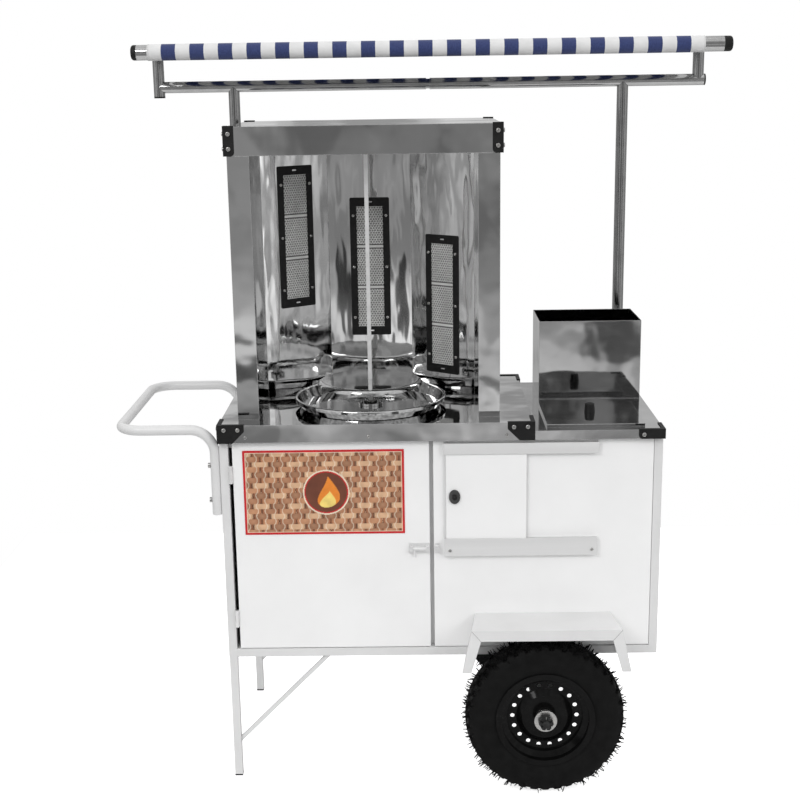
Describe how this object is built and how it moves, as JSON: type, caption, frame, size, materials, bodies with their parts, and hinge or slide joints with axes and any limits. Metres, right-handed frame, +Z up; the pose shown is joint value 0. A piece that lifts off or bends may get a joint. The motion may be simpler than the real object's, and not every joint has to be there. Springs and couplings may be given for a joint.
{
  "type": "gyro cart",
  "caption": "Street-food cart with a white cabinet on wheels and legs, an upright gas roaster with a spit, a worktop, a push handle and a striped canopy.",
  "frame": {"origin": "centre of the bounding box on the floor", "axes": "+Z up, +X to the worktop end, -Y to the front with the door and the roaster's mouth"},
  "size_m": [1.553, 0.9314, 1.8745],
  "materials": {
    "white_paint": "gloss white powder coat",
    "polished_steel": "mirror polished stainless sheet",
    "chrome_tube": "polished round tube",
    "track_aluminium": "satin extrusion",
    "black_plastic": "moulded black plastic",
    "burner_black": "heat resistant black paint",
    "burner_ceramic": "perforated ceramic tile",
    "gas_brass": "plain brass and pipe",
    "zinc_steel": "bright zinc plate",
    "tyre_rubber": "black rubber",
    "rim_black": "gloss black enamel",
    "sign_print": "printed plate",
    "striped_cloth": "woven stripes, blue and white"
  },
  "bodies": {
    "cart": {"frame_tubes": "white_paint", "floor_panel": "white_paint", "rear_panel": "white_paint", "side_panels": "white_paint", "front_panel": "white_paint", "wheel_fenders": "white_paint", "push_handle": "white_paint", "axle_brackets": "white_paint", "pole_sockets": "white_paint", "machine_base": "polished_steel", "worktop": "polished_steel", "machine_columns": "polished_steel", "machine_hood": "polished_steel", "centre_reflector": "polished_steel", "side_reflectors": "polished_steel", "rear_cover": "polished_steel", "serving_bin": "polished_steel", "canopy_poles": "chrome_tube", "canopy_cross_bars": "chrome_tube", "canopy_end_posts": "chrome_tube", "canopy_side_rails": "chrome_tube", "canopy_tubes": "chrome_tube", "door_tracks": "track_aluminium", "corner_brackets": "black_plastic", "tube_plugs": "black_plastic", "burner_frames": "burner_black", "burner_bodies": "burner_black", "spit_motor": "burner_black", "burner_tiles": "burner_ceramic", "gas_manifold": "gas_brass", "fasteners": "zinc_steel", "hinge_frame_leaves": "zinc_steel", "latch_keeper": "zinc_steel", "spit_bearing": "zinc_steel", "axle": "rim_black", "canopy_fabric": "striped_cloth"},
    "front_wheel": {"front_tyre": "tyre_rubber", "front_rim": "rim_black", "front_hub": "zinc_steel"},
    "rear_wheel": {"rear_tyre": "tyre_rubber", "rear_rim": "rim_black", "rear_hub": "zinc_steel"},
    "cabinet_door": {"cabinet_door": "white_paint", "door_sign": "sign_print", "hinge_door_leaves": "zinc_steel", "latch_body": "zinc_steel"},
    "latch_bolt": {"latch_bolt": "zinc_steel"},
    "sliding_door": {"sliding_door": "white_paint", "lock_case": "black_plastic"},
    "lock_barrel": {"lock_barrel": "zinc_steel"},
    "spit": {"spit_rod": "polished_steel", "spit_disc": "polished_steel", "spit_coupling": "zinc_steel"},
    "drip_tray": {"drip_tray": "polished_steel"},
    "food_pan": {"food_pan": "polished_steel"},
    "pan_lid": {"pan_lid": "polished_steel", "lid_knob": "black_plastic"},
    "valve_knob_left": {"valve_knob_left": "black_plastic"},
    "valve_knob_centre": {"valve_knob_centre": "black_plastic"},
    "valve_knob_right": {"valve_knob_right": "black_plastic"}
  },
  "joints": [
    {"name": "front_wheel_spin", "type": "hinge", "parent": "cart", "child": "front_wheel", "pos_m": [0.2885, -0.402, 0.2], "axis": [0, 1, 0], "continuous": true},
    {"name": "rear_wheel_spin", "type": "hinge", "parent": "cart", "child": "rear_wheel", "pos_m": [0.2885, 0.242, 0.2], "axis": [0, 1, 0], "continuous": true},
    {"name": "door_swing", "type": "hinge", "parent": "cart", "child": "cabinet_door", "pos_m": [-0.4865, -0.344, 0.631], "axis": [0, 0, -1], "range_deg": [0, 110]},
    {"name": "latch_slide", "type": "slide", "parent": "cabinet_door", "child": "latch_bolt", "axis": [1, 0, 0], "range_m": [0, 0.025]},
    {"name": "hatch_slide", "type": "slide", "parent": "cart", "child": "sliding_door", "axis": [1, 0, 0], "range_m": [0, 0.155]},
    {"name": "lock_push", "type": "slide", "parent": "sliding_door", "child": "lock_barrel", "axis": [0, 1, 0], "range_m": [0, 0.008]},
    {"name": "spit_turn", "type": "hinge", "parent": "cart", "child": "spit", "pos_m": [-0.1435, -0.15, 1.273], "axis": [0, 0, 1], "continuous": true},
    {"name": "tray_lift", "type": "slide", "parent": "cart", "child": "drip_tray", "axis": [0, 0, 1], "range_m": [0, 0.035]},
    {"name": "pan_lift", "type": "slide", "parent": "cart", "child": "food_pan", "axis": [0, 0, 1], "range_m": [0, 0.15]},
    {"name": "lid_lift", "type": "slide", "parent": "food_pan", "child": "pan_lid", "axis": [0, 0, 1], "range_m": [0, 0.2]},
    {"name": "valve_left_turn", "type": "hinge", "parent": "cart", "child": "valve_knob_left", "pos_m": [-0.35298, 0.16, 0.985], "axis": [0, 1, 0], "range_deg": [0, 90]},
    {"name": "valve_centre_turn", "type": "hinge", "parent": "cart", "child": "valve_knob_centre", "pos_m": [-0.1435, 0.16, 0.985], "axis": [0, 1, 0], "range_deg": [0, 90]},
    {"name": "valve_right_turn", "type": "hinge", "parent": "cart", "child": "valve_knob_right", "pos_m": [0.06598, 0.16, 0.985], "axis": [0, 1, 0], "range_deg": [0, 90]}
  ]
}
